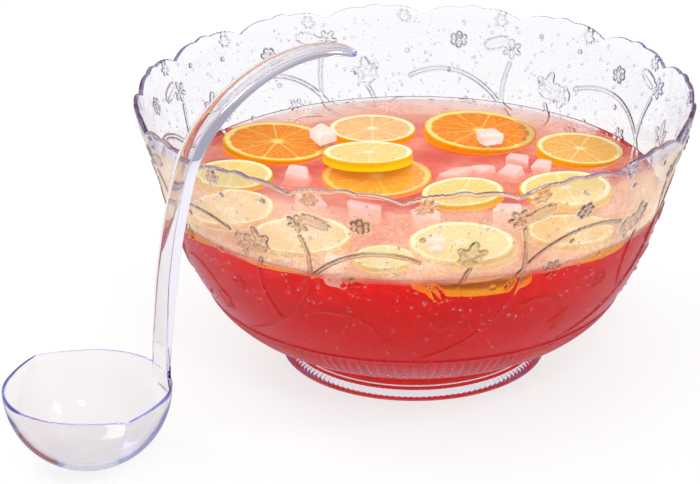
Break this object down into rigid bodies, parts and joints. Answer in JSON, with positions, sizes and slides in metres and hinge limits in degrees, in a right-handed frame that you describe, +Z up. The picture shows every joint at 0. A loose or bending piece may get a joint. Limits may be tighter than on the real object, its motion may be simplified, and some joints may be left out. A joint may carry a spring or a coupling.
{
  "type": "punch bowl",
  "caption": "Clear punch bowl with a scalloped rim and a fluted ring foot, its hooked ladle, and red punch with citrus slices and ice floating in it.",
  "frame": {"origin": "centre of the foot's underside, on the table", "axes": "+Z up along the bowl's axis; the ladle stands towards -X and -Y, where the pictured front left is"},
  "size_m": [0.3955, 0.3585, 0.2207],
  "materials": {
    "bowl_plastic": "clear moulded polystyrene, polished, with raised vines, leaves and flowers",
    "ladle_plastic": "clear moulded polystyrene, polished, with a faint blue edge",
    "punch": "clear red liquid",
    "orange": "wet cut orange with pale pith and glossy peel",
    "lemon": "wet cut lemon with pale pith and glossy peel",
    "ice": "wet, rounded, cloudy ice"
  },
  "bodies": {
    "bowl": {"bowl": "bowl_plastic", "punch": "punch"},
    "ladle": {"ladle": "ladle_plastic"},
    "orange_slice_1": {"orange_slice_1": "orange", "ice_cube_1": "ice"},
    "orange_slice_2": {"orange_slice_2": "orange", "ice_cube_2": "ice"},
    "orange_slice_3": {"orange_slice_3": "orange"},
    "orange_slice_4": {"orange_slice_4": "orange"},
    "orange_slice_5": {"orange_slice_5": "orange"},
    "orange_slice_6": {"orange_slice_6": "orange"},
    "lemon_slice_1": {"lemon_slice_1": "lemon"},
    "lemon_slice_2": {"lemon_slice_2": "lemon"},
    "lemon_slice_3": {"lemon_slice_3": "lemon"},
    "lemon_slice_4": {"lemon_slice_4": "lemon"},
    "lemon_slice_5": {"lemon_slice_5": "lemon"},
    "lemon_slice_6": {"lemon_slice_6": "lemon"},
    "lemon_slice_7": {"lemon_slice_7": "lemon", "ice_cube_3": "ice"},
    "lemon_slice_8": {"lemon_slice_8": "lemon"},
    "lemon_slice_9": {"lemon_slice_9": "lemon"},
    "loose_ice": {"ice_cube_4": "ice", "ice_cube_5": "ice", "ice_cube_6": "ice", "ice_cube_7": "ice", "ice_cube_8": "ice", "ice_cube_9": "ice", "ice_cube_10": "ice", "ice_cube_11": "ice", "ice_cube_12": "ice", "ice_cube_13": "ice", "ice_cube_14": "ice"}
  },
  "joints": [
    {"name": "ladle_lift", "type": "slide", "parent": "bowl", "child": "ladle", "axis": [0, 0, 1], "range_m": [0, 0.2]},
    {"name": "orange_slice_1_lift", "type": "slide", "parent": "bowl", "child": "orange_slice_1", "axis": [0, 0, 1], "range_m": [0, 0.07]},
    {"name": "orange_slice_2_lift", "type": "slide", "parent": "bowl", "child": "orange_slice_2", "axis": [0, 0, 1], "range_m": [0, 0.07]},
    {"name": "orange_slice_3_lift", "type": "slide", "parent": "bowl", "child": "orange_slice_3", "axis": [0, 0, 1], "range_m": [0, 0.07]},
    {"name": "orange_slice_4_lift", "type": "slide", "parent": "bowl", "child": "orange_slice_4", "axis": [0, 0, 1], "range_m": [0, 0.07]},
    {"name": "orange_slice_5_lift", "type": "slide", "parent": "bowl", "child": "orange_slice_5", "axis": [0, 0, 1], "range_m": [0, 0.07]},
    {"name": "orange_slice_6_lift", "type": "slide", "parent": "bowl", "child": "orange_slice_6", "axis": [0, 0, 1], "range_m": [0, 0.07]},
    {"name": "lemon_slice_1_lift", "type": "slide", "parent": "bowl", "child": "lemon_slice_1", "axis": [0, 0, 1], "range_m": [0, 0.07]},
    {"name": "lemon_slice_2_lift", "type": "slide", "parent": "orange_slice_3", "child": "lemon_slice_2", "axis": [0, 0, 1], "range_m": [0, 0.07]},
    {"name": "lemon_slice_3_lift", "type": "slide", "parent": "bowl", "child": "lemon_slice_3", "axis": [0, 0, 1], "range_m": [0, 0.07]},
    {"name": "lemon_slice_4_lift", "type": "slide", "parent": "bowl", "child": "lemon_slice_4", "axis": [0, 0, 1], "range_m": [0, 0.07]},
    {"name": "lemon_slice_5_lift", "type": "slide", "parent": "bowl", "child": "lemon_slice_5", "axis": [0, 0, 1], "range_m": [0, 0.07]},
    {"name": "lemon_slice_6_lift", "type": "slide", "parent": "bowl", "child": "lemon_slice_6", "axis": [0, 0, 1], "range_m": [0, 0.07]},
    {"name": "lemon_slice_7_lift", "type": "slide", "parent": "lemon_slice_8", "child": "lemon_slice_7", "axis": [0, 0, 1], "range_m": [0, 0.07]},
    {"name": "lemon_slice_8_lift", "type": "slide", "parent": "bowl", "child": "lemon_slice_8", "axis": [0, 0, 1], "range_m": [0, 0.08]},
    {"name": "lemon_slice_9_lift", "type": "slide", "parent": "bowl", "child": "lemon_slice_9", "axis": [0, 0, 1], "range_m": [0, 0.07]},
    {"name": "loose_ice_lift", "type": "slide", "parent": "bowl", "child": "loose_ice", "axis": [0, 0, 1], "range_m": [0, 0.075]}
  ]
}
